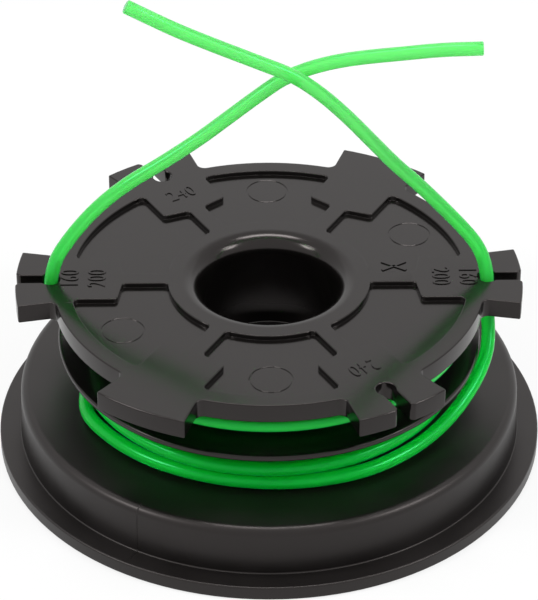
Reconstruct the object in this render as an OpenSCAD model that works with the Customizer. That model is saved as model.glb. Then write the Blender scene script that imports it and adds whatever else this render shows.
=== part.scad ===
// Trimmer line spool: a moulded spool with two chambers, wound with two lengths
// of nylon line whose ends come up through the slots in the top flange.
// Millimetres, +Z up along the bore, origin at the middle of the foot.

/* [Foot and skirt] */
// Outer radius of the rim that the spool stands on
rim_r = 47.8; // [46.8:0.2:52]
// Thickness of the rim
rim_t = 2.6; // [2:0.1:3.4]
// Outer radius of the skirt where it meets the rim
skirt_foot_r = 44; // [43.9:0.1:45.5]
// Outer radius of the skirt just under its rounded edge
skirt_top_r = 43.8; // [43:0.1:43.8]
// Wall of the skirt
skirt_wall = 2.2; // [1.6:0.1:3]
// Height of the bottom flange's winding face above the foot
base_h = 11.6; // [10.5:0.1:14]
// Thickness of the bottom flange
base_t = 2.4; // [1.8:0.1:3]
// Rounding of the skirt's top edge
skirt_round = 1.5; // [0.6:0.1:2]

/* [Hub] */
// Outer radius of the hub that the line is wound on
hub_r = 16.2; // [16:0.1:17]
// Radius of the bore
bore_r = 12; // [11:0.1:12.8]
// Rounding at the mouth of the bore
bore_round = 3.2; // [1.5:0.1:3.4]
// Depth of the bore from the top face to the ledge
bore_depth = 17.75; // [15:0.25:18.5]
// Thickness of the ledge inside the bore
ledge_t = 2; // [1.5:0.1:3]
// Radius of the hole through the ledge
ledge_hole_r = 8.5; // [6:0.5:10.5]
// Wall of the hub round the socket under the ledge
socket_wall = 2; // [1.4:0.1:3]
// Height of the hub's lower end above the foot
hub_lift = 1.2; // [0.6:0.1:2]

/* [Underside ribs] */
// Number of ribs between the hub and the skirt
rib_n = 6; // [4:1:12]
// Thickness of a rib
rib_t = 1.8; // [1.2:0.1:2.6]
// Height of a rib's lower edge above the foot
rib_lift = 3.6; // [2:0.2:5]

/* [Chambers] */
// Width of the lower chamber
lower_gap = 8.9; // [8.5:0.1:10]
// Width of the upper chamber
upper_gap = 7.45; // [7.4:0.05:8.5]
// Outer radius of the divider between the chambers
divider_r = 36.8; // [36:0.1:36.8]
// Thickness of the divider
divider_t = 1.1; // [0.8:0.1:1.6]

/* [Top flange] */
// Outer radius of the top flange between its lugs
flange_r = 37.25; // [36.5:0.25:38]
// Thickness of the top flange
flange_t = 3.5; // [2.8:0.1:4.2]
// Radius from the axis to the outer face of a lug
lug_reach = 43.85; // [42.5:0.05:45]
// Angle that a lug takes up, seen from the axis
lug_angle = 22; // [18:1:24]
// Rounding where a lug meets the flange
lug_root_r = 1.5; // [0.8:0.1:2.5]

/* [Line slots] */
// Width of the slots in the left and right lugs
slot_w = 2.2; // [1.8:0.1:2.6]
// Width of the slots in the rear left and front right lugs
wide_slot_w = 2.5; // [2:0.1:2.8]
// Radius of the hole at the inner end of a slot
slot_hole_r = 1.7; // [1.6:0.05:2]
// Distance of that hole from the axis
slot_hole_at = 37.8; // [37.2:0.1:38.4]
// How far a slot's mouth opens out at the lug's face
mouth_flare = 0.6; // [0.2:0.1:1]

/* [Top pockets] */
// Depth of the six pockets in the top face
pocket_depth = 0.9; // [0.5:0.1:1.5]
// Inner radius of the pockets, which leaves a raised ring round the bore
pocket_in_r = 17.6; // [17.2:0.1:18.5]
// Outer radius of the pockets
pocket_out_r = 34.3; // [33:0.1:35]
// Width of the raised spokes between the pockets
spoke_w = 3.1; // [2:0.1:4.5]
// Width of the raised pads that the spokes widen into
pad_w = 12.5; // [9:0.5:14]
// Distance from the axis to a pad's inner end
pad_at = 25.3; // [23:0.1:28]
// Slope of a pad's inner end, as a length along the spoke
pad_slant = 0.8; // [0.2:0.1:1.5]
// Rounding of the pockets' corners
pocket_corner_r = 0.8; // [0.4:0.1:1.2]
// Radius of the ejector marks on the pocket floors
eject_r = 3.75; // [2.5:0.25:4.5]
// Distance of the ejector marks from the axis
eject_at = 28.8; // [27:0.1:29.5]
// Depth of the ejector marks
eject_depth = 0.12; // [0.05:0.01:0.3]
// Width of the fine ring that each of them is
eject_line = 0.3; // [0.2:0.05:0.8]

/* [Line] */
// Diameter of the nylon line
line_d = 2.4; // [2:0.1:2.4]
// Layers of line in the lower chamber
lower_layers = 7; // [3:1:7]
// Layers of line in the upper chamber
upper_layers = 5; // [3:1:5]
// Turns of line side by side in one layer
turns_wide = 3; // [2:1:3]
// Clearance between layers, and from the hub to the first layer
layer_gap = 0.05; // [0.02:0.01:0.1]

/* [Hidden] */

// Overrun of the cuts past the faces they open
over = 1;
// Rounding of the divider's, rim's and hub's small edges
edge_round = 0.35;
// How far the rounds at the lugs' roots reach into the flange and the lug
fillet_bite = 0.03;

divider_z = base_h + lower_gap;
flange_z = divider_z + divider_t + upper_gap;
top_z = flange_z + flange_t;
ledge_z = top_z - bore_depth;
socket_r = hub_r - socket_wall;

// Lugs by angle: plain ones, narrow slots for the wound line, wide slots for thicker line
lug_angles = [for (i = [0:5]) i * 60];
narrow_slot_angles = [0, 180];
wide_slot_angles = [120, 300];
// Pockets that carry an ejector mark
eject_angles = [30, 90, 210, 270];

// The lower line's loose turn, in the corner of the bottom flange and then up past the divider,
// as angle, distance from the axis and height
lower_turn = [
    [-172, 34.1, 13.05], [-158, 34, 13.05], [-144, 33.6, 13.05], [-130, 33.1, 13.05],
    [-116, 32.6, 13.05], [-102, 32.45, 13.05], [-88, 32.6, 13.05], [-74, 33, 13.05],
    [-60, 33.5, 13.05], [-47, 34, 13.4], [-36, 34.6, 14], [-27, 35.4, 15], [-19.5, 36.5, 16.7],
    [-13.5, 37.6, 18.9], [-9, 38.25, 21.2]
];
// Its free end, from the hole in the right lug
lower_end = [
    [38.1, -3.3, 23.6], [38, -1.6, 25.8], [37.85, -0.45, 28.6], [37.8, 0, 31],
    [37.6, 0.6, 33.3], [36.9, 1.6, 35.7], [35.6, 2.4, 38], [33.2, 2.8, 41], [28.5, 2.5, 46.6],
    [25, 2.1, 50.6], [21.6, 1.8, 54.2], [17.3, 1.3, 59.4], [13, 0.8, 64.6], [8.7, 0.4, 69.1],
    [4.2, 0.1, 72.7], [-2.4, -0.2, 76], [-8.8, -0.4, 79], [-15.4, -0.5, 82.2],
    [-23.3, -0.6, 86.6]
];
// The upper line's loose turn, under the top flange
upper_turn = [
    [-180, 30.2, 25.9], [-165, 30.8, 26], [-150, 31.9, 26.1], [-136, 33.2, 26.2],
    [-122, 33.9, 26.2], [-107, 34, 26.2], [-92, 34, 26.2], [-77, 34, 26.2], [-62, 34, 26.2],
    [-47, 34, 26.2], [-32, 34, 26.2], [-17, 34, 26.2], [-2, 34.1, 26.1], [13, 34.3, 26],
    [28, 34.4, 25.9], [43, 34.6, 25.6], [58, 34.9, 25.2], [73, 35.2, 24.8], [88, 35.6, 24.3],
    [103, 36, 23.8], [118, 36.6, 23.3], [132, 37.2, 22.9], [145, 37.8, 22.55]
];
// Its free end, from below the hole in the left lug
upper_end = [
    [-35.9, 13.2, 22.4], [-37.1, 9, 22.7], [-37.6, 5.5, 23.7], [-37.8, 2.7, 25.6],
    [-37.8, 0.65, 28.3], [-37.75, 0, 31.3], [-37.4, 0, 33.9], [-36.5, 0.5, 36.6],
    [-34.6, 1.1, 39.6], [-31.4, 1.6, 43.7], [-27.8, 2, 47.4], [-23.6, 2.3, 50.8],
    [-18.3, 2.6, 54.3], [-11.7, 3, 59], [-6.6, 3.3, 63.1], [-1.6, 3.5, 67.2], [2.4, 3.6, 70.2],
    [6.4, 3.6, 72.1], [11.1, 3.6, 73.5], [15.4, 3.5, 74.3], [22.2, 3.4, 75.1],
    [28.8, 3.3, 75.8], [35.6, 3.2, 76.1]
];

$fn = 96;

// Points of an arc in a plane
function arc(cx, cy, r, from, to, n) =
    [for (i = [0:n]) let(a = from + (to - from) * i / n) [cx + r * cos(a), cy + r * sin(a)]];

function unit(v) = v / norm(v);

// A corner of an outline between two neighbours, rounded with radius r
function round_corner(before, corner, after, r, n) =
    let(
        a = unit(before - corner),
        b = unit(after - corner),
        half = acos(a * b) / 2,
        centre = corner + unit(a + b) * r / sin(half),
        start = corner + a * r / tan(half) - centre,
        end = corner + b * r / tan(half) - centre,
        turn = atan2(start[0] * end[1] - start[1] * end[0], start * end),
        first = atan2(start[1], start[0])
    )
    arc(centre[0], centre[1], r, first, first + turn, n);

// Ring with a top and bottom edge rounded, as half a section
module disc(r, thickness, round_r) {
    rotate_extrude()
        polygon(concat(
            [[0, 0]],
            arc(r - round_r, round_r, round_r, -90, 0, 4),
            arc(r - round_r, thickness - round_r, round_r, 0, 90, 4),
            [[0, thickness]]
        ));
}

// Rim, skirt and bottom flange, hollow from below
module foot() {
    difference() {
        union() {
            disc(rim_r, rim_t, edge_round);
            translate([0, 0, rim_t])
                rotate_extrude()
                    polygon(concat(
                        [[0, 0], [skirt_foot_r, 0]],
                        arc(skirt_top_r - skirt_round, base_h - rim_t - skirt_round, skirt_round, 0, 90, 8),
                        [[0, base_h - rim_t]]
                    ));
        }
        translate([0, 0, -over])
            cylinder(r = skirt_top_r - skirt_wall, h = base_h - base_t + over);
    }
}

// Ribs that stiffen the bottom flange from below
module underside_ribs() {
    for (i = [0:rib_n - 1])
        rotate(i * 360 / rib_n)
            translate([socket_r + over, -rib_t / 2, rib_lift])
                cube([skirt_top_r - skirt_wall / 2 - socket_r - over, rib_t, base_h - base_t / 2 - rib_lift]);
}

// What lies outside the flange between two lugs, centred on +X. Its corners at the lugs' roots
// are rounded, and each round's arc bites a little into its neighbours, so that it crosses them
module notch() {
    half = (360 / len(lug_angles) - lug_angle) / 2;
    near = lug_root_r - fillet_bite;
    root = flange_r + near;
    sweep = asin(near / root);
    foot_at = root * cos(sweep);
    far = (lug_reach + over) / cos(half);
    tall = flange_t + 2 * over;
    translate([0, 0, -over])
        difference() {
            linear_extrude(tall)
                polygon([[0, 0], far * [cos(half), -sin(half)], far * [cos(half), sin(half)]]);
            cylinder(r = flange_r, h = tall);
            for (side = [-1, 1])
                difference() {
                    linear_extrude(tall)
                        polygon([
                            (flange_r - over) * [cos(half - sweep), side * sin(half - sweep)],
                            flange_r * [cos(half - sweep), side * sin(half - sweep)],
                            foot_at * [cos(half), side * sin(half)],
                            foot_at * [cos(half + sweep), side * sin(half + sweep)],
                            (flange_r - over) * [cos(half + sweep), side * sin(half + sweep)]
                        ]);
                    rotate(side * (half - sweep))
                        translate([root, 0, -over])
                            cylinder(r = lug_root_r, h = tall + 2 * over, $fn = 32);
                }
        }
}

// Keyhole slot that opens at a lug's outer face, centred on +X
module line_slot(width) {
    translate([0, 0, flange_z - over])
        linear_extrude(flange_t + 2 * over)
            polygon([
                [slot_hole_at, -width / 2],
                [lug_reach - mouth_flare, -width / 2],
                [lug_reach + over, -width / 2 - mouth_flare - over],
                [lug_reach + over, width / 2 + mouth_flare + over],
                [lug_reach - mouth_flare, width / 2],
                [slot_hole_at, width / 2]
            ]);
    translate([slot_hole_at, 0, flange_z - over])
        cylinder(r = slot_hole_r, h = flange_t + 2 * over, $fn = 48);
}

// Where an arc of radius r meets a line parallel to the spoke at -30 degrees, offset by w
function on_side(r, w) =
    let(a = -30 + asin(w / r)) r * [cos(a), sin(a)];

// A point beside the spoke at -30 degrees: distance along it and offset from it
function beside(along, w) =
    [along * cos(30) + w * sin(30), -along * sin(30) + w * cos(30)];

// Half of a pocket's outline, centred on +X, from the inner arc to the outer arc
function pocket_half() =
    let(
        inner = on_side(pocket_in_r, spoke_w / 2),
        neck = beside(pad_at, spoke_w / 2),
        step = beside(pad_at + pad_slant, pad_w / 2),
        outer = on_side(pocket_out_r, pad_w / 2),
        inner_next = pocket_in_r * [cos(atan2(inner[1], inner[0]) / 2), sin(atan2(inner[1], inner[0]) / 2)],
        outer_next = pocket_out_r * [cos(atan2(outer[1], outer[0]) / 2), sin(atan2(outer[1], outer[0]) / 2)]
    )
    concat(
        round_corner(inner_next, inner, neck, pocket_corner_r, 5),
        round_corner(inner, neck, step, pocket_corner_r, 5),
        round_corner(neck, step, outer, pocket_corner_r, 5),
        round_corner(step, outer, outer_next, pocket_corner_r, 5)
    );

function mirrored(points) = [for (i = [len(points) - 1:-1:0]) [points[i][0], -points[i][1]]];

// One pocket of the top face, centred on +X
module pocket() {
    side = pocket_half();
    start = atan2(side[len(side) - 1][1], side[len(side) - 1][0]);
    finish = atan2(side[0][1], side[0][0]);
    translate([0, 0, top_z - pocket_depth])
        linear_extrude(pocket_depth + over)
            polygon(concat(
                side,
                arc(0, 0, pocket_out_r, start, -start, 16),
                mirrored(side),
                arc(0, 0, pocket_in_r, -finish, finish, 10)
            ));
}

// Fine ring that an ejector pin leaves in a pocket's floor, centred on +X
module eject_mark() {
    translate([eject_at, 0, top_z - pocket_depth - eject_depth])
        difference() {
            cylinder(r = eject_r, h = eject_depth + over, $fn = 64);
            translate([0, 0, -over])
                cylinder(r = eject_r - eject_line, h = eject_depth + 3 * over, $fn = 64);
        }
}

// Top flange, cut back between its lugs
module top_flange() {
    translate([0, 0, flange_z])
        difference() {
            cylinder(r = lug_reach, h = flange_t);
            for (a = lug_angles)
                rotate(a + 180 / len(lug_angles))
                    notch();
        }
}

// Bore with its rounded mouth, the ledge's hole and the socket below
module hub_holes() {
    translate([0, 0, ledge_z])
        cylinder(r = bore_r, h = bore_depth + over);
    translate([0, 0, top_z - bore_round])
        rotate_extrude()
            polygon(concat(
                [[0, 0]],
                arc(bore_r + bore_round, 0, bore_round, 180, 90, 10),
                [[bore_r + bore_round, bore_round + over], [0, bore_round + over]]
            ));
    translate([0, 0, ledge_z - ledge_t - over])
        cylinder(r = ledge_hole_r, h = ledge_t + 2 * over);
    translate([0, 0, hub_lift - over])
        cylinder(r = socket_r, h = ledge_z - ledge_t - hub_lift + over);
}

module spool_body() {
    color([0.08, 0.08, 0.085])
        difference() {
            union() {
                foot();
                underside_ribs();
                translate([0, 0, hub_lift])
                    cylinder(r = hub_r, h = flange_z + flange_t / 2 - hub_lift);
                translate([0, 0, divider_z])
                    disc(divider_r, divider_t, edge_round);
                top_flange();
            }
            hub_holes();
            for (a = narrow_slot_angles)
                rotate(a)
                    line_slot(slot_w);
            for (a = wide_slot_angles)
                rotate(a)
                    line_slot(wide_slot_w);
            for (i = [0:5])
                rotate(30 + i * 60)
                    pocket();
            for (a = eject_angles)
                rotate(a)
                    eject_mark();
        }
}

// Outer radius of a winding of so many layers
function wound_r(layers) = hub_r + layers * (layer_gap + line_d);

// Outer shape of a winding, flat against both flanges: one round for the outer turn of each row,
// with the number of layers in each row given from the bottom up
module winding(rows, gap) {
    last = len(rows) - 1;
    pitch = (gap - line_d) / last;
    bite = asin(min(pitch / line_d, sin(90)));
    rotate_extrude()
        polygon(concat(
            [[hub_r + layer_gap, 0]],
            [for (i = [0:last])
                each arc(wound_r(rows[i]) - line_d / 2, line_d / 2 + i * pitch, line_d / 2,
                    i == 0 ? -90 : -bite, i == last ? 90 : bite, 8)],
            [[hub_r + layer_gap, gap]]
        ));
}

// The lower winding's bottom row lacks its outer turn, which is the loose one
module lower_winding() {
    rows = [for (i = [1:turns_wide]) i == 1 ? lower_layers - 1 : lower_layers];
    color([0.1, 0.8, 0.35])
        translate([0, 0, base_h])
            winding(rows, lower_gap);
}

module upper_winding() {
    rows = [for (i = [1:turns_wide]) upper_layers];
    color([0.1, 0.8, 0.35])
        translate([0, 0, divider_z + divider_t])
            winding(rows, upper_gap);
}

// Direction of a route at one of its points, and a normal carried along it without twisting
function along(p, i) = unit(p[min(i + 1, len(p) - 1)] - p[max(i - 1, 0)]);
function square_to(n, t) = unit(n - (n * t) * t);
function normals(p, i, n) =
    i == len(p) ? [] : let(m = square_to(n, along(p, i))) concat([m], normals(p, i + 1, m));

// Round line of eight sides swept along a route
module line_tube(route, sides = 8) {
    n = normals(route, 0, [0, 0, 1]);
    last = len(route) - 1;
    points = [
        for (i = [0:last])
            let(b = cross(along(route, i), n[i]))
            for (k = [0:sides - 1])
                route[i] + line_d / 2 * (cos(k * 360 / sides) * n[i] + sin(k * 360 / sides) * b)
    ];
    polyhedron(points, concat(
        [[for (k = [0:sides - 1]) k]],
        [for (i = [0:last - 1]) for (k = [0:sides - 1])
            let(m = (k + 1) % sides)
            [i * sides + k, (i + 1) * sides + k, (i + 1) * sides + m, i * sides + m]],
        [[for (k = [sides - 1:-1:0]) last * sides + k]]
    ));
}

function from_polar(points) = [for (p = points) [p[1] * cos(p[0]), p[1] * sin(p[0]), p[2]]];

module lower_line_end() {
    color([0.2, 0.9, 0.4])
        line_tube(concat(from_polar(lower_turn), lower_end));
}

module upper_line_end() {
    color([0.2, 0.9, 0.4])
        line_tube(concat(from_polar(upper_turn), upper_end));
}

spool_body();
lower_winding();
upper_winding();
lower_line_end();
upper_line_end();
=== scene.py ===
"""Trimmer line spool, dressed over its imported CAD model: moulded black plastic and two lengths of
clear green line whose free ends cross above it. Metres, +Z up along the bore."""
import math

import bmesh
import bpy
from mathutils import Matrix, Vector


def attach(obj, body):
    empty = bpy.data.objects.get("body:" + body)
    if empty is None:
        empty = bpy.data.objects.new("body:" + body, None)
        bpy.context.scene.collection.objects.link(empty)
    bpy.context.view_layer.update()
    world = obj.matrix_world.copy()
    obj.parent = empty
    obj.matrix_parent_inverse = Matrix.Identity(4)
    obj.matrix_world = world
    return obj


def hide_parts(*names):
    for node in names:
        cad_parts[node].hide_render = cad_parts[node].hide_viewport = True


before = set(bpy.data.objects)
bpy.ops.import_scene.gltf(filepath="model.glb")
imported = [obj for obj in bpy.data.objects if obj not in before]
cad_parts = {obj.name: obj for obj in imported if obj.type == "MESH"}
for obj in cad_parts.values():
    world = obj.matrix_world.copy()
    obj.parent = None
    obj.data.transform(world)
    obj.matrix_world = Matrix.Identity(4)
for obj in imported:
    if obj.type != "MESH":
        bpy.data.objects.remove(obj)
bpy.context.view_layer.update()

# Sizes are written in millimetres, which MM turns into metres
MM = 0.001
scene = bpy.context.scene
scene.view_settings.view_transform = "Standard"


# Camera: a long lens that looks down on the spool from the front, a little to the left. It aims at
# a point on the bore's axis. Its angles are in degrees and its distance is in millimetres

CAMERA_AIM = (0, 0, 27.75)
CAMERA_ELEVATION = 34.75
CAMERA_SWING = -0.7
CAMERA_DISTANCE = 560
CAMERA_LENS = 193.27
CAMERA_SENSOR = 36

camera_data = bpy.data.cameras.new("camera")
camera_data.sensor_width = CAMERA_SENSOR
camera_data.lens = CAMERA_LENS
camera_data.clip_start = 0.05
camera_data.clip_end = 5
camera = bpy.data.objects.new("camera", camera_data)
scene.collection.objects.link(camera)
elevation = math.radians(CAMERA_ELEVATION)
swing = math.radians(CAMERA_SWING)
back = Vector((
    math.sin(swing) * math.cos(elevation),
    -math.cos(swing) * math.cos(elevation),
    math.sin(elevation),
))
camera.location = (Vector(CAMERA_AIM) + CAMERA_DISTANCE * back) * MM
camera.rotation_mode = "QUATERNION"
camera.rotation_quaternion = (-back).to_track_quat("-Z", "Y")
scene.camera = camera


# Two lengths of line: clear green nylon, wound on the hub by hand and coloured by the dye inside
# it. Its green is painted paler with height: painted light that stands in for the white light that
# passes through the free ends, while the wound turns shade each other and look deeper

def material_named(name):
    """A new node material: its links, its Principled shader, and a function that adds a node."""
    material = bpy.data.materials.new(name)
    material.use_nodes = True
    tree = material.node_tree
    shader = tree.nodes["Principled BSDF"]

    def add(kind, **values):
        node = tree.nodes.new(kind)
        for key, value in values.items():
            if key in node.inputs:
                node.inputs[key].default_value = value
            else:
                setattr(node, key, value)
        return node

    return material, tree.links, shader, add


def cloud_group():
    """Soft noise that stays with the piece, as a share from 0 to 1."""
    group = bpy.data.node_groups.new("cloud", "ShaderNodeTree")
    for name in ("Scale", "Detail"):
        group.interface.new_socket(name, in_out="INPUT", socket_type="NodeSocketFloat")
    group.interface.new_socket("Share", in_out="OUTPUT", socket_type="NodeSocketFloat")
    given = group.nodes.new("NodeGroupInput")
    made = group.nodes.new("NodeGroupOutput")
    coordinates = group.nodes.new("ShaderNodeTexCoord")
    noise = group.nodes.new("ShaderNodeTexNoise")
    group.links.new(coordinates.outputs["Object"], noise.inputs["Vector"])
    group.links.new(given.outputs["Scale"], noise.inputs["Scale"])
    group.links.new(given.outputs["Detail"], noise.inputs["Detail"])
    group.links.new(noise.outputs["Fac"], made.inputs["Share"])
    return group


def height_group():
    """A value that changes evenly between two heights: Below under the low one, Above over the
    high one."""
    group = bpy.data.node_groups.new("change_with_height", "ShaderNodeTree")
    for name in ("Low", "High", "Below", "Above"):
        group.interface.new_socket(name, in_out="INPUT", socket_type="NodeSocketFloat")
    group.interface.new_socket("Value", in_out="OUTPUT", socket_type="NodeSocketFloat")
    given = group.nodes.new("NodeGroupInput")
    made = group.nodes.new("NodeGroupOutput")
    coordinates = group.nodes.new("ShaderNodeTexCoord")
    place = group.nodes.new("ShaderNodeSeparateXYZ")
    change = group.nodes.new("ShaderNodeMapRange")
    group.links.new(coordinates.outputs["Object"], place.inputs["Vector"])
    group.links.new(place.outputs["Z"], change.inputs["Value"])
    group.links.new(given.outputs["Low"], change.inputs["From Min"])
    group.links.new(given.outputs["High"], change.inputs["From Max"])
    group.links.new(given.outputs["Below"], change.inputs["To Min"])
    group.links.new(given.outputs["Above"], change.inputs["To Max"])
    group.links.new(change.outputs["Result"], made.inputs["Value"])
    return group


cloud_share = cloud_group()
change_with_height = height_group()

DEEP_GREEN = (0.001, 0.9, 0.07, 1)
PALE_GREEN = (0.2, 1, 0.22, 1)
# The painted light starts to pale the green at the first height, and pales it most at the second
PALE_FROM = 20 * MM
PALE_AT = 60 * MM
# Shares of the pale green that the painted light by height and the dye's own clouding bring
PAINTED_LIGHT_SHARE = 0.95
CLOUD_SHARE = 0.05


def green_line_material():
    material, links, shader, add = material_named("green_nylon_line")
    shader.inputs["Roughness"].default_value = 0.2
    shader.inputs["IOR"].default_value = 1.5
    shader.inputs["Specular Tint"].default_value = (0.15, 1, 0.5, 1)
    shader.inputs["Transmission Weight"].default_value = 0.5
    shader.inputs["Subsurface Weight"].default_value = 0.5
    shader.inputs["Subsurface Radius"].default_value = (0.25, 1.0, 0.5)
    shader.inputs["Subsurface Scale"].default_value = 1.0 * MM
    shader.inputs["Sheen Weight"].default_value = 0.35
    shader.inputs["Sheen Roughness"].default_value = 0.35
    shader.inputs["Sheen Tint"].default_value = (0, 0.6, 0.4, 1)
    cloud = add("ShaderNodeGroup", node_tree=cloud_share, Scale=160, Detail=2)
    ripple = add("ShaderNodeGroup", node_tree=cloud_share, Scale=350, Detail=1)
    # Painted light: the green is mixed paler with height, for the white light through the free ends
    free = add(
        "ShaderNodeGroup", node_tree=change_with_height,
        Low=PALE_FROM, High=PALE_AT, Below=0, Above=PAINTED_LIGHT_SHARE,
    )
    clouding_and_painted_light = add("ShaderNodeMath", operation="MULTIPLY_ADD")
    clouding_and_painted_light.inputs[1].default_value = CLOUD_SHARE
    links.new(cloud.outputs["Share"], clouding_and_painted_light.inputs[0])
    links.new(free.outputs["Value"], clouding_and_painted_light.inputs[2])
    # The dye's own clouding and the painted light, mixed into one colour
    dye_and_painted_light = add("ShaderNodeMix", data_type="RGBA")
    dye_and_painted_light.inputs["A"].default_value = DEEP_GREEN
    dye_and_painted_light.inputs["B"].default_value = PALE_GREEN
    links.new(clouding_and_painted_light.outputs["Value"], dye_and_painted_light.inputs["Factor"])
    links.new(dye_and_painted_light.outputs["Result"], shader.inputs["Base Color"])
    bump = add("ShaderNodeBump", Strength=0.05, Distance=0.02 * MM)
    links.new(ripple.outputs["Share"], bump.inputs["Height"])
    links.new(bump.outputs["Normal"], shader.inputs["Normal"])
    return material


green_line = green_line_material()

LINE_D = 2.4
LINE_SIDES = 28
# Chamfer on a cut end
CUT_CHAMFER = 0.12
HUB_R = 16.2
LAYER_GAP = 0.05
LAYER_STEP = LINE_D + LAYER_GAP
FIRST_LAYER_R = HUB_R + LAYER_STEP - LINE_D / 2
# Angles that a change of row and a change of layer take up
ROW_CHANGE = 40
LAYER_CHANGE = 32
# Distance between the points of a route that isn't wound
ROUTE_SPACING = 1.8

# The routes' points repeat those of the CAD model. The lower line's loose turn, as
# angle, distance from the axis and height
lower_turn = [
    [-172, 34.1, 13.05], [-158, 34, 13.05], [-144, 33.6, 13.05], [-130, 33.1, 13.05],
    [-116, 32.6, 13.05], [-102, 32.45, 13.05], [-88, 32.6, 13.05], [-74, 33, 13.05],
    [-60, 33.5, 13.05], [-47, 34, 13.4], [-36, 34.6, 14], [-27, 35.4, 15], [-19.5, 36.5, 16.7],
    [-13.5, 37.6, 18.9], [-9, 38.25, 21.2]
]
# Its free end, from the hole in the right lug
lower_end = [
    [38.1, -3.3, 23.6], [38, -1.6, 25.8], [37.85, -0.45, 28.6], [37.8, 0, 31],
    [37.6, 0.6, 33.3], [36.9, 1.6, 35.7], [35.6, 2.4, 38], [33.2, 2.8, 41], [28.5, 2.5, 46.6],
    [25, 2.1, 50.6], [21.6, 1.8, 54.2], [17.3, 1.3, 59.4], [13, 0.8, 64.6], [8.7, 0.4, 69.1],
    [4.2, 0.1, 72.7], [-2.4, -0.2, 76], [-8.8, -0.4, 79], [-15.4, -0.5, 82.2],
    [-23.3, -0.6, 86.6]
]
# The upper line's loose turn, under the top flange
upper_turn = [
    [-180, 30.2, 25.9], [-165, 30.8, 26], [-150, 31.9, 26.1], [-136, 33.2, 26.2],
    [-122, 33.9, 26.2], [-107, 34, 26.2], [-92, 34, 26.2], [-77, 34, 26.2], [-62, 34, 26.2],
    [-47, 34, 26.2], [-32, 34, 26.2], [-17, 34, 26.2], [-2, 34.1, 26.1], [13, 34.3, 26],
    [28, 34.4, 25.9], [43, 34.6, 25.6], [58, 34.9, 25.2], [73, 35.2, 24.8], [88, 35.6, 24.3],
    [103, 36, 23.8], [118, 36.6, 23.3], [132, 37.2, 22.9], [145, 37.8, 22.55]
]
# Its free end, from below the hole in the left lug
upper_end = [
    [-35.9, 13.2, 22.4], [-37.1, 9, 22.7], [-37.6, 5.5, 23.7], [-37.8, 2.7, 25.6],
    [-37.8, 0.65, 28.3], [-37.75, 0, 31.3], [-37.4, 0, 33.9], [-36.5, 0.5, 36.6],
    [-34.6, 1.1, 39.6], [-31.4, 1.6, 43.7], [-27.8, 2, 47.4], [-23.6, 2.3, 50.8],
    [-18.3, 2.6, 54.3], [-11.7, 3, 59], [-6.6, 3.3, 63.1], [-1.6, 3.5, 67.2], [2.4, 3.6, 70.2],
    [6.4, 3.6, 72.1], [11.1, 3.6, 73.5], [15.4, 3.5, 74.3], [22.2, 3.4, 75.1],
    [28.8, 3.3, 75.8], [35.6, 3.2, 76.1]
]


def from_polar(angle, radius, height):
    return Vector((
        radius * math.cos(math.radians(angle)),
        radius * math.sin(math.radians(angle)),
        height,
    ))


def eased(value, start, end):
    """0 before start, 1 after end, and a smooth step between."""
    share = min(max((value - start) / (end - start), 0), 1)
    return share * share * (3 - 2 * share)


def wound_path(rows, layers, last_change, step=5):
    """Turns from the hub outwards, with a point at every step of the angle. rows are the heights
    of the turns in one layer, from the one at which the first layer starts; last_change is the
    angle at which the last row is reached."""
    events = []
    angle = last_change
    for layer in reversed(range(layers)):
        order = rows if layer % 2 == 0 else rows[::-1]
        for i in reversed(range(1, len(order))):
            events.append((angle - ROW_CHANGE, angle, "row", order[i - 1], order[i]))
            angle -= 360
        if layer > 0:
            angle += LAYER_CHANGE
            events.append((angle - LAYER_CHANGE, angle, "layer", layer - 1, layer))
            angle -= 360 - ROW_CHANGE
    start = angle
    events.sort()
    points = []
    count = int((last_change - start) / step)
    for i in range(count + 1):
        at = start + (last_change - start) * i / count
        radius = FIRST_LAYER_R
        height = rows[0]
        for low, high, kind, before, after in events:
            if at < low:
                break
            part = eased(at, low, high)
            if kind == "row":
                height = before + (after - before) * part
            else:
                radius = FIRST_LAYER_R + LAYER_STEP * (before + (after - before) * part)
        points.append(from_polar(at, radius, height))
    return points


def curve_through(points):
    """A smooth curve through given points, as evenly spaced points."""
    padded = [2 * points[0] - points[1], *points, 2 * points[-1] - points[-2]]
    out = []
    for i in range(1, len(padded) - 2):
        p0, p1, p2, p3 = padded[i - 1:i + 3]
        count = max(2, round((p2 - p1).length / ROUTE_SPACING))
        knots = [0]
        for a, b in ((p0, p1), (p1, p2), (p2, p3)):
            knots.append(knots[-1] + (b - a).length ** 0.5)
        t0, t1, t2, t3 = knots
        for j in range(count):
            t = t1 + (t2 - t1) * j / count
            a1 = p0 * ((t1 - t) / (t1 - t0)) + p1 * ((t - t0) / (t1 - t0))
            a2 = p1 * ((t2 - t) / (t2 - t1)) + p2 * ((t - t1) / (t2 - t1))
            a3 = p2 * ((t3 - t) / (t3 - t2)) + p3 * ((t - t2) / (t3 - t2))
            b1 = a1 * ((t2 - t) / (t2 - t0)) + a2 * ((t - t0) / (t2 - t0))
            b2 = a2 * ((t3 - t) / (t3 - t1)) + a3 * ((t - t1) / (t3 - t1))
            out.append(b1 * ((t2 - t) / (t2 - t1)) + b2 * ((t - t1) / (t2 - t1)))
    out.append(points[-1].copy())
    return out


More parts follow.
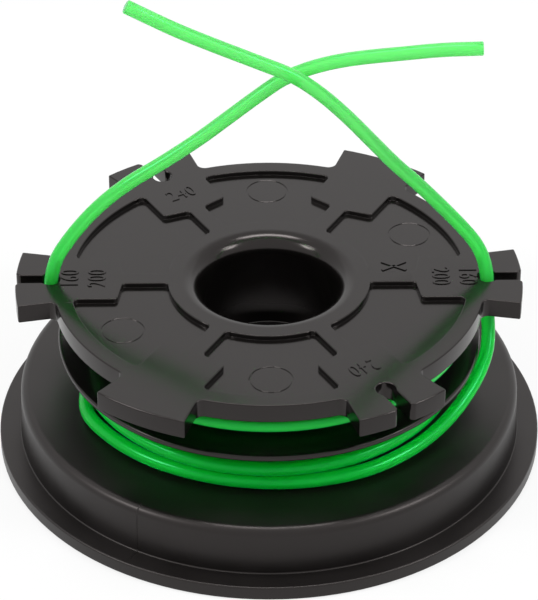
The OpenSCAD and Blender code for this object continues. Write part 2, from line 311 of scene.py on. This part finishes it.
def line_mesh(name, path):
    """A round line swept along a path, with a small chamfer on its cut ends."""
    radius = LINE_D / 2 * MM
    chamfer = CUT_CHAMFER * MM
    count = len(path)
    directions = [
        (path[min(i + 1, count - 1)] - path[max(i - 1, 0)]).normalized() for i in range(count)
    ]
    normal = directions[0].orthogonal().normalized()
    sections = []
    for i in range(count):
        normal = (normal - normal.dot(directions[i]) * directions[i]).normalized()
        sections.append((path[i], normal.copy(), directions[i].cross(normal), radius))
    cut = radius - chamfer
    first = (path[0] - chamfer * directions[0], sections[0][1], sections[0][2], cut)
    last = (path[-1] + chamfer * directions[-1], sections[-1][1], sections[-1][2], cut)
    mesh = bpy.data.meshes.new(name)
    work = bmesh.new()
    rings = []
    for centre, across, up, size in [first, *sections, last]:
        ring = []
        for k in range(LINE_SIDES):
            turn = 2 * math.pi * k / LINE_SIDES
            out = math.cos(turn) * across + math.sin(turn) * up
            ring.append(work.verts.new(centre + size * out))
        rings.append(ring)
    for a, b in zip(rings, rings[1:]):
        for k in range(LINE_SIDES):
            after = (k + 1) % LINE_SIDES
            work.faces.new((a[k], a[after], b[after], b[k]))
    work.faces.new(rings[0][::-1])
    work.faces.new(rings[-1])
    work.normal_update()
    work.to_mesh(mesh)
    work.free()
    return mesh


def new_object(name, mesh, material):
    """A smooth piece of the object that rides on its one body."""
    piece = bpy.data.objects.new(name, mesh)
    scene.collection.objects.link(piece)
    mesh.materials.clear()
    mesh.materials.append(material)
    for face in mesh.polygons:
        face.use_smooth = True
    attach(piece, "root")
    return piece


def add_line(name, path, nodes):
    path = [MM * point for point in path]
    piece = new_object(name, line_mesh(name, path), green_line)
    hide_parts(*nodes)


# Lower line: seven layers, of which the last row's turn is the loose one on the bottom flange
LOWER_ROWS = [18.7, 15.55, 13.05]
LOWER_LAYERS = 7
LOWER_LAST_CHANGE = 186

lower_path = wound_path(LOWER_ROWS, LOWER_LAYERS, LOWER_LAST_CHANGE)
lower_route = [from_polar(*point) for point in lower_turn[1:]]
lower_route += [Vector(point) for point in lower_end]
lower_path += curve_through([lower_path[-1], *lower_route])[1:]
add_line("lower_line", lower_path, ["lower_winding", "lower_line_end"])

# Upper line: five layers, then a wide loose turn under the top flange
UPPER_ROWS = [27.85, 25.33, 22.8]
UPPER_LAYERS = 5
UPPER_LAST_CHANGE = 60
# Where the line leaves its winding, as angle, distance from the last layer and height
upper_leaving = [
    [75, 0.1, 22.8], [90, 0.5, 22.8], [110, 1.2, 22.9],
    [130, 1.9, 23.7], [150, 2.4, 24.8], [166, 2.6, 25.5],
]

upper_path = wound_path(UPPER_ROWS, UPPER_LAYERS, UPPER_LAST_CHANGE)
last_layer_r = FIRST_LAYER_R + (UPPER_LAYERS - 1) * LAYER_STEP
upper_route = [
    from_polar(angle, last_layer_r + away, height) for angle, away, height in upper_leaving
]
upper_route += [from_polar(*point) for point in upper_turn]
upper_route += [Vector(point) for point in upper_end]
upper_path += curve_through([upper_path[-1], *upper_route])[1:]
add_line("upper_line", upper_path, ["upper_winding", "upper_line_end"])


# Moulded spool: rim, skirt, hub, divider and top flange in one piece of black plastic. It is the
# CAD form with a small round on its sharp edges. Its skin is glossier higher up, with a fine grain,
# faint sink marks and a slightly cloudy gloss

DARK_TONE = (0.0028, 0.0024, 0.0023, 1)
LIGHT_TONE = (0.0055, 0.0048, 0.0046, 1)
# The skin is at its dullest under the first height and at its glossiest over the second
DULL_UP_TO = 14 * MM
GLOSSY_FROM = 24 * MM
DULL_ROUGHNESS = 0.31
GLOSSY_ROUGHNESS = 0.11
# Roughness that the clouding adds at most
CLOUD_ROUGHNESS = 0.12


def black_plastic_material():
    material, links, shader, add = material_named("moulded_black_plastic")
    shader.inputs["IOR"].default_value = 1.43
    shader.inputs["Specular Tint"].default_value = (1, 0.91, 0.89, 1)
    grain = add("ShaderNodeGroup", node_tree=cloud_share, Scale=3200, Detail=3)
    cloud = add("ShaderNodeGroup", node_tree=cloud_share, Scale=110, Detail=5)
    sink = add("ShaderNodeGroup", node_tree=cloud_share, Scale=45, Detail=1)
    tone = add("ShaderNodeMix", data_type="RGBA")
    tone.inputs["A"].default_value = DARK_TONE
    tone.inputs["B"].default_value = LIGHT_TONE
    links.new(cloud.outputs["Share"], tone.inputs["Factor"])
    links.new(tone.outputs["Result"], shader.inputs["Base Color"])
    polish = add(
        "ShaderNodeGroup", node_tree=change_with_height,
        Low=DULL_UP_TO, High=GLOSSY_FROM, Below=DULL_ROUGHNESS, Above=GLOSSY_ROUGHNESS,
    )
    rough = add("ShaderNodeMath", operation="MULTIPLY_ADD")
    rough.inputs[1].default_value = CLOUD_ROUGHNESS
    links.new(cloud.outputs["Share"], rough.inputs[0])
    links.new(polish.outputs["Value"], rough.inputs[2])
    links.new(rough.outputs["Value"], shader.inputs["Roughness"])
    waves = add("ShaderNodeBump", Strength=0.25, Distance=0.05 * MM)
    links.new(sink.outputs["Share"], waves.inputs["Height"])
    bump = add("ShaderNodeBump", Strength=0.1, Distance=0.01 * MM)
    links.new(grain.outputs["Share"], bump.inputs["Height"])
    links.new(waves.outputs["Normal"], bump.inputs["Normal"])
    links.new(bump.outputs["Normal"], shader.inputs["Normal"])
    return material


black_plastic = black_plastic_material()

TOP_Z = 32.55
POCKET_DEPTH = 0.9
POCKET_Z = TOP_Z - POCKET_DEPTH
# Radius that all the pockets lie within
POCKET_REACH = 35
EJECTOR_R = 3.75
EJECTOR_AT = 28.8
EDGE_ROUND = 0.25
# Shares of that round at a pocket's rim and at the foot of its walls, which are crisper
POCKET_RIM_SHARE = 0.8
POCKET_FOOT_SHARE = 0.15
# Angle past which an edge counts as sharp
SHARP = math.radians(35)
# Room within which a point still counts as lying on a pocket's floor or an ejector ring
NEAR = 0.2
NEAR_ABOVE = 0.05
# Points of the CAD mesh that lie this close together are one
WELD = 0.002 * MM
FLAT = math.radians(0.5)


def on_ejector_ring(point):
    """Whether a point lies on one of the fine rings that the ejector pins leave in the pockets."""
    if not POCKET_Z - NEAR < point.z / MM < POCKET_Z + NEAR_ABOVE:
        return False
    for k in range(6):
        turn = math.radians(60 * k + 30)
        centre = EJECTOR_AT * Vector((math.cos(turn), math.sin(turn)))
        if (point.xy / MM - centre).length < EJECTOR_R + NEAR:
            return True
    return False


def softened_body(node):
    """A copy of a CAD node's mesh with a small round on every sharp edge."""
    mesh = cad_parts[node].data.copy()
    mesh.name = "moulded_spool"
    work = bmesh.new()
    work.from_mesh(mesh)
    bmesh.ops.remove_doubles(work, verts=work.verts, dist=WELD)
    bmesh.ops.dissolve_degenerate(work, edges=work.edges, dist=WELD)
    bmesh.ops.dissolve_limit(
        work, angle_limit=FLAT, verts=work.verts, edges=work.edges,
        use_dissolve_boundaries=False,
    )
    weight = work.edges.layers.float.new("bevel_weight_edge")
    for edge in work.edges:
        if len(edge.link_faces) == 2 and edge.calc_face_angle() > SHARP:
            middle = (edge.verts[0].co + edge.verts[1].co) / 2
            in_pocket = middle.z / MM > POCKET_Z - NEAR and middle.xy.length / MM < POCKET_REACH
            if in_pocket and not on_ejector_ring(middle):
                edge[weight] = POCKET_RIM_SHARE if edge.is_convex else POCKET_FOOT_SHARE
            elif not in_pocket:
                edge[weight] = 1
    work.to_mesh(mesh)
    work.free()
    piece = new_object("moulded_spool", mesh, black_plastic)
    bevel = piece.modifiers.new("soft_edges", "BEVEL")
    bevel.width = EDGE_ROUND * MM
    bevel.segments = 2
    bevel.limit_method = "WEIGHT"
    bevel.use_clamp_overlap = False
    bevel.miter_outer = "MITER_ARC"
    flat = piece.modifiers.new("flat_faces", "WEIGHTED_NORMAL")
    flat.mode = "FACE_AREA"
    flat.weight = 100
    flat.thresh = 0.001
    return piece


spool = softened_body("spool_body")
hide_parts("spool_body")


# Moulded marks: plain numbers on the pads, a small cross in one pocket and the fine ridges where
# the halves of the mould met. All are the spool's own plastic, and none stands out by more than
# 0.2 mm. The numbers on one half of the flange are those on the other, turned half round

FIGURE_SIZE = 4.5
# A figure's width as a share of the font's own
FIGURE_WIDTH_SHARE = 0.75
FIGURE_SPACING_SHARE = 1.1
# How far a figure reaches above and below its own middle
FIGURE_REACH = 0.14
FIGURE_THINNING = 0.02
FIGURE_Z = TOP_Z + 0.01
# The numbers on half of the flange, with their place and turn
HALF_NUMBERS = [("160", (-34.3, 0), 90), ("200", (-29.6, 0), 90), ("240", (-15.4, 26.7), 30)]


def mesh_from(piece):
    """The mesh that an object's curve or modifiers make. The object itself goes."""
    scene.collection.objects.link(piece)
    evaluated = piece.evaluated_get(bpy.context.evaluated_depsgraph_get())
    mesh = bpy.data.meshes.new_from_object(evaluated)
    bpy.data.objects.remove(piece)
    return mesh


def moulded_number(digits, place, turn):
    """A raised number as a mesh of its own. place is in millimetres, turn in degrees."""
    curve = bpy.data.curves.new("figures", "FONT")
    curve.body = digits
    curve.size = FIGURE_SIZE * MM
    curve.align_x = "CENTER"
    curve.align_y = "CENTER"
    curve.space_character = FIGURE_SPACING_SHARE
    curve.extrude = FIGURE_REACH * MM
    curve.offset = -FIGURE_THINNING * MM
    curve.resolution_u = 4
    mesh = mesh_from(bpy.data.objects.new("figures", curve))
    mesh.transform(
        Matrix.Translation(Vector((*place, FIGURE_Z)) * MM)
        @ Matrix.Rotation(math.radians(turn), 4, "Z")
        @ Matrix.Diagonal((FIGURE_WIDTH_SHARE, 1, 1, 1))
    )
    return mesh


def joined(name, meshes):
    """One mesh of several, with the points that they share merged and faces pointing outwards."""
    work = bmesh.new()
    for mesh in meshes:
        work.from_mesh(mesh)
        bpy.data.meshes.remove(mesh)
    bmesh.ops.remove_doubles(work, verts=work.verts, dist=0.001 * MM)
    bmesh.ops.recalc_face_normals(work, faces=work.faces)
    out = bpy.data.meshes.new(name)
    work.to_mesh(out)
    work.free()
    return out


def copies_round_axis(mesh, copies, material):
    """A mesh repeated round the bore's axis at even turns, by a node tree."""
    tree = bpy.data.node_groups.new("copies_round_axis", "GeometryNodeTree")
    sockets = tree.interface
    sockets.new_socket("Marks", in_out="INPUT", socket_type="NodeSocketGeometry")
    count = sockets.new_socket("Copies", in_out="INPUT", socket_type="NodeSocketInt")
    plastic = sockets.new_socket("Plastic", in_out="INPUT", socket_type="NodeSocketMaterial")
    sockets.new_socket("Marks", in_out="OUTPUT", socket_type="NodeSocketGeometry")
    links = tree.links
    given = tree.nodes.new("NodeGroupInput")
    made = tree.nodes.new("NodeGroupOutput")
    points = tree.nodes.new("GeometryNodePoints")
    index = tree.nodes.new("GeometryNodeInputIndex")
    step = tree.nodes.new("ShaderNodeMath")
    step.operation = "DIVIDE"
    step.inputs[0].default_value = 2 * math.pi
    turn = tree.nodes.new("ShaderNodeMath")
    turn.operation = "MULTIPLY"
    about_axis = tree.nodes.new("ShaderNodeCombineXYZ")
    instances = tree.nodes.new("GeometryNodeInstanceOnPoints")
    real = tree.nodes.new("GeometryNodeRealizeInstances")
    finish = tree.nodes.new("GeometryNodeSetMaterial")
    links.new(given.outputs["Copies"], points.inputs["Count"])
    links.new(given.outputs["Copies"], step.inputs[1])
    links.new(index.outputs["Index"], turn.inputs[0])
    links.new(step.outputs["Value"], turn.inputs[1])
    links.new(turn.outputs["Value"], about_axis.inputs["Z"])
    links.new(points.outputs[0], instances.inputs["Points"])
    links.new(given.outputs["Marks"], instances.inputs["Instance"])
    links.new(about_axis.outputs["Vector"], instances.inputs["Rotation"])
    links.new(instances.outputs["Instances"], real.inputs["Geometry"])
    links.new(real.outputs["Geometry"], finish.inputs["Geometry"])
    links.new(given.outputs["Plastic"], finish.inputs["Material"])
    links.new(finish.outputs["Geometry"], made.inputs["Marks"])
    piece = bpy.data.objects.new("copies", mesh)
    modifier = piece.modifiers.new("copies_round_axis", "NODES")
    modifier.node_group = tree
    modifier[count.identifier] = copies
    modifier[plastic.identifier] = material
    return mesh_from(piece)


half_numbers = joined("half_numbers", [moulded_number(*number) for number in HALF_NUMBERS])
marks = [copies_round_axis(half_numbers, 2, black_plastic)]

# The cross in the right pocket is two bars
CROSS_AT = (21.8, 4.4)
CROSS_TURN = 32
BAR_LENGTH = 5
BAR_WIDTH = 0.55
BAR_THICK = 0.2
# How far a bar is sunk into the pocket's floor, and its top's width as a share of its foot's
BAR_SUNK = 0.02
BAR_TOP_SHARE = 0.75


def bar_mesh(turn):
    """A low bar with slanted sides, lying flat in its pocket."""
    work = bmesh.new()
    rings = []
    for share, height in ((1, 0), (BAR_TOP_SHARE, BAR_THICK)):
        x = BAR_LENGTH / 2 - (1 - share) * BAR_WIDTH / 2
        y = BAR_WIDTH / 2 * share
        corners = ((-x, -y), (x, -y), (x, y), (-x, y))
        rings.append([work.verts.new((*corner, height)) for corner in corners])
    foot, top = rings
    work.faces.new(foot[::-1])
    work.faces.new(top)
    for k in range(4):
        after = (k + 1) % 4
        work.faces.new((foot[k], foot[after], top[after], top[k]))
    mesh = bpy.data.meshes.new("bar")
    work.to_mesh(mesh)
    work.free()
    mesh.transform(
        Matrix.Scale(MM, 4)
        @ Matrix.Translation((*CROSS_AT, POCKET_Z - BAR_SUNK))
        @ Matrix.Rotation(math.radians(turn), 4, "Z")
    )
    return mesh


marks += [bar_mesh(turn) for turn in (CROSS_TURN, -CROSS_TURN)]

# The parting ridges run up the skirt's wall, from the rim to the ledge, and over the divider's edge
RIDGE_ANGLES = (60, 239)
SKIRT_PROFILE = [
    (47, 2.6), (44.3, 2.6), (43.98, 2.9), (43.84, 9.9),
    (43.75, 10.6), (43.4, 11.2), (42.9, 11.5), (42.2, 11.6),
]
SKIRT_RIDGE_WIDTH = 0.3
SKIRT_RIDGE_PROUD = 0.05
DIVIDER_PROFILE = [(36.8, 20.7), (36.8, 21.4)]
DIVIDER_RIDGE_WIDTH = 0.4
DIVIDER_RIDGE_PROUD = 0.1


def parting_ridge(angle, profile, width, proud):
    """The fine ridge that the gap between two halves of the mould leaves, along a wall's profile
    of distances from the axis and heights. proud points away from the wall."""
    work = bmesh.new()
    across = Vector((-math.sin(math.radians(angle)), math.cos(math.radians(angle)), 0))
    rows = []
    for i, (radius, height) in enumerate(profile):
        before = Vector(profile[max(i - 1, 0)])
        after = Vector(profile[min(i + 1, len(profile) - 1)])
        along = (after - before).normalized()
        out = from_polar(angle, along.y, -along.x)
        middle = from_polar(angle, radius, height)
        rows.append([
            work.verts.new(middle - width / 2 * across - proud * out),
            work.verts.new(middle + proud * out),
            work.verts.new(middle + width / 2 * across - proud * out),
        ])
    for a, b in zip(rows, rows[1:]):
        for k in range(3):
            work.faces.new((a[k], b[k], b[(k + 1) % 3], a[(k + 1) % 3]))
    work.faces.new(rows[0])
    work.faces.new(rows[-1][::-1])
    mesh = bpy.data.meshes.new("ridge")
    work.to_mesh(mesh)
    work.free()
    mesh.transform(Matrix.Scale(MM, 4))
    return mesh


for angle in RIDGE_ANGLES:
    marks.append(parting_ridge(angle, SKIRT_PROFILE, SKIRT_RIDGE_WIDTH, SKIRT_RIDGE_PROUD))
    marks.append(parting_ridge(angle, DIVIDER_PROFILE, DIVIDER_RIDGE_WIDTH, DIVIDER_RIDGE_PROUD))
moulded_marks = new_object("moulded_marks", joined("moulded_marks", marks), black_plastic)
for face in moulded_marks.data.polygons:
    face.use_smooth = False


# Stage: a white table in a white room, lit by four softboxes. What the camera or a mirror sees of
# the room is pure white, and the table is nearly so, but for the soft shadow that the spool leaves
# on it. From below the table can't be seen

TABLE_GREY = 0.8
# Share of plain white in the table as the camera, a mirror or the clear line sees it
TABLE_WHITE_SHARE = 0.8
TABLE_SPAN = 3
# The table lies a hair under the spool's foot, so that the two faces don't flicker
TABLE_DROP = 0.02 * MM


def stage_material():
    material, links, shader, add = material_named("white_table")
    shader.inputs["Base Color"].default_value = (TABLE_GREY, TABLE_GREY, TABLE_GREY, 1)
    shader.inputs["Roughness"].default_value = 0.9
    path = add("ShaderNodeLightPath")
    white = add("ShaderNodeEmission", Color=(1, 1, 1, 1), Strength=1)
    mirrored = add("ShaderNodeMath", operation="MAXIMUM")
    seen = add("ShaderNodeMath", operation="MAXIMUM")
    share = add("ShaderNodeMath", operation="MULTIPLY")
    share.inputs[1].default_value = TABLE_WHITE_SHARE
    mix = add("ShaderNodeMixShader")
    links.new(path.outputs["Is Glossy Ray"], mirrored.inputs[0])
    links.new(path.outputs["Is Transmission Ray"], mirrored.inputs[1])
    links.new(path.outputs["Is Camera Ray"], seen.inputs[0])
    links.new(mirrored.outputs["Value"], seen.inputs[1])
    links.new(seen.outputs["Value"], share.inputs[0])
    links.new(share.outputs["Value"], mix.inputs["Fac"])
    links.new(shader.outputs["BSDF"], mix.inputs[1])
    links.new(white.outputs["Emission"], mix.inputs[2])
    side = add("ShaderNodeNewGeometry")
    clear = add("ShaderNodeBsdfTransparent")
    from_above = add("ShaderNodeMixShader")
    links.new(side.outputs["Backfacing"], from_above.inputs["Fac"])
    links.new(mix.outputs["Shader"], from_above.inputs[1])
    links.new(clear.outputs["BSDF"], from_above.inputs[2])
    output = material.node_tree.nodes["Material Output"]
    links.new(from_above.outputs["Shader"], output.inputs["Surface"])
    return material


table_mesh = bpy.data.meshes.new("table")
table_corners = [
    (-TABLE_SPAN, -TABLE_SPAN, -TABLE_DROP), (TABLE_SPAN, -TABLE_SPAN, -TABLE_DROP),
    (TABLE_SPAN, TABLE_SPAN, -TABLE_DROP), (-TABLE_SPAN, TABLE_SPAN, -TABLE_DROP),
]
table_mesh.from_pydata(table_corners, [], [(0, 1, 2, 3)])
table_mesh.materials.append(stage_material())
table = bpy.data.objects.new("table", table_mesh)
scene.collection.objects.link(table)

# The room looks white, and lights the object's matt surfaces at half that strength
ROOM_SEEN = 1
ROOM_LIGHT = 0.5

world = bpy.data.worlds.new("white_room")
scene.world = world
world.use_nodes = True
world_tree = world.node_tree
background = world_tree.nodes["Background"]
background.inputs["Color"].default_value = (1, 1, 1, 1)
sky = world_tree.nodes.new("ShaderNodeLightPath")
strength = world_tree.nodes.new("ShaderNodeMapRange")
strength.inputs["To Min"].default_value = ROOM_SEEN
strength.inputs["To Max"].default_value = ROOM_LIGHT
world_tree.links.new(sky.outputs["Is Diffuse Ray"], strength.inputs["Value"])
world_tree.links.new(strength.outputs["Result"], background.inputs["Strength"])


def softbox(name, place, target, size, power):
    """A softbox that faces its target, in metres and watts."""
    light = bpy.data.lights.new(name, "AREA")
    light.shape = "RECTANGLE"
    light.size, light.size_y = size
    light.energy = power
    lamp = bpy.data.objects.new(name, light)
    lamp.location = place
    lamp.rotation_mode = "QUATERNION"
    lamp.rotation_quaternion = (Vector(target) - Vector(place)).to_track_quat("-Z", "Y")
    scene.collection.objects.link(lamp)


SPOOL_MIDDLE = (0, 0, 0.02)
SIDE_SIZE = (0.24, 0.24)
SIDE_POWER = 2.6

softbox("top_softbox", place=(0, 0.05, 0.85), target=(0, 0, 0), size=(0.5, 0.16), power=3)
softbox("left_softbox", (-0.62, -0.24, 0.62), SPOOL_MIDDLE, SIDE_SIZE, SIDE_POWER)
softbox("right_softbox", (0.62, -0.24, 0.62), SPOOL_MIDDLE, SIDE_SIZE, SIDE_POWER)
softbox("rear_softbox", (0, 0.74, 0.51), SPOOL_MIDDLE, size=(1.2, 0.5), power=0.45)
